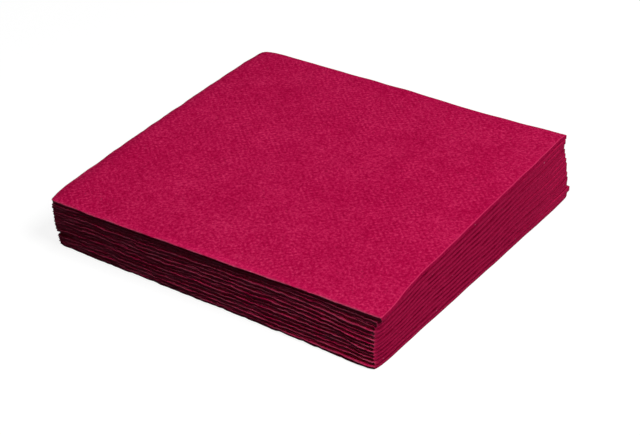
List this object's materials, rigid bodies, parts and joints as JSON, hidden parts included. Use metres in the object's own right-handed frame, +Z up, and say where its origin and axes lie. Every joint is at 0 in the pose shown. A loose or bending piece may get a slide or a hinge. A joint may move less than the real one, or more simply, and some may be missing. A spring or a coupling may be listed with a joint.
{
  "type": "stack of paper napkins",
  "caption": "Square stack of soft crimson paper napkins, each folded twice, with rounded folds on two sides and open leaf edges on the other two.",
  "frame": {"origin": "middle of the stack's foot, on the surface that it rests on", "axes": "+Z up through the stack; +X along the open front, towards the side with the last folds; +Y towards the back, where the first folds are"},
  "size_m": [0.1702, 0.1692, 0.0289],
  "materials": {
    "tissue": "matte embossed tissue"
  },
  "bodies": {
    "root": {"napkin_01": "tissue", "napkin_02": "tissue", "napkin_03": "tissue", "napkin_04": "tissue", "napkin_05": "tissue", "napkin_06": "tissue", "napkin_07": "tissue", "napkin_08": "tissue", "napkin_09": "tissue", "napkin_10": "tissue", "napkin_11": "tissue", "napkin_12": "tissue", "napkin_13": "tissue"}
  },
  "joints": []
}
